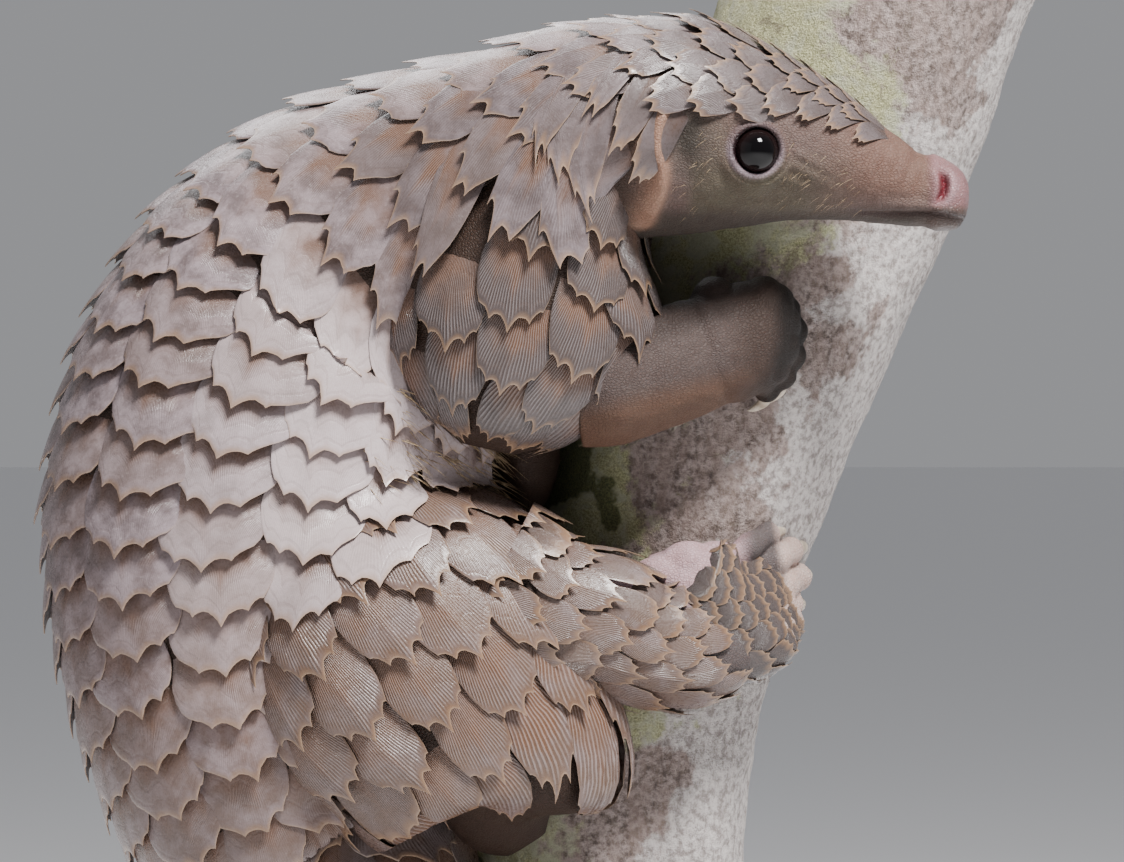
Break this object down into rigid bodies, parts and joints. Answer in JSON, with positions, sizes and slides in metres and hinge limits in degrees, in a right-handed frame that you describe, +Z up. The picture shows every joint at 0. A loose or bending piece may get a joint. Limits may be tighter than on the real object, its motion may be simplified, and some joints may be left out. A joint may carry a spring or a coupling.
{
  "type": "white-bellied pangolin",
  "caption": "Life-size still model of a tree pangolin hugging a cut length of tree trunk, its tail wound round the stem, on an oval display stand.",
  "frame": {"origin": "middle of the stand's underside", "axes": "+Z up, the snout points to +X, the animal's right side faces -Y"},
  "size_m": [0.256, 0.186, 0.426],
  "materials": {
    "scales": "grey-brown horn with tan edges, fine grooves, half matt",
    "skin": "bare pinkish-brown skin, matt",
    "hand_skin": "dark brown skin with short hair, matt",
    "foot_skin": "pink sole, grey scaled back of the foot, pale toe tips",
    "eye": "wet black",
    "bark": "pale bark with yellow-green lichen, rough",
    "stand": "dark satin lacquer",
    "stand_rod": "brushed"
  },
  "bodies": {
    "root": {"perch_trunk": "bark", "stand_base": "stand", "stand_rod_1": "stand_rod", "stand_rod_2": "stand_rod", "head": "skin", "neck": "scales", "torso": "scales", "rump": "scales", "tail_1": "scales", "tail_2": "scales", "tail_3": "scales", "tail_4": "scales", "eye_right": "eye", "eye_left": "eye", "ear_right": "skin", "ear_left": "skin", "foreleg_right": "scales", "foreleg_left": "scales", "hand_right": "hand_skin", "hand_left": "hand_skin", "hindleg_right": "scales", "hindleg_left": "scales", "foot_right": "foot_skin", "foot_left": "foot_skin"}
  },
  "joints": []
}
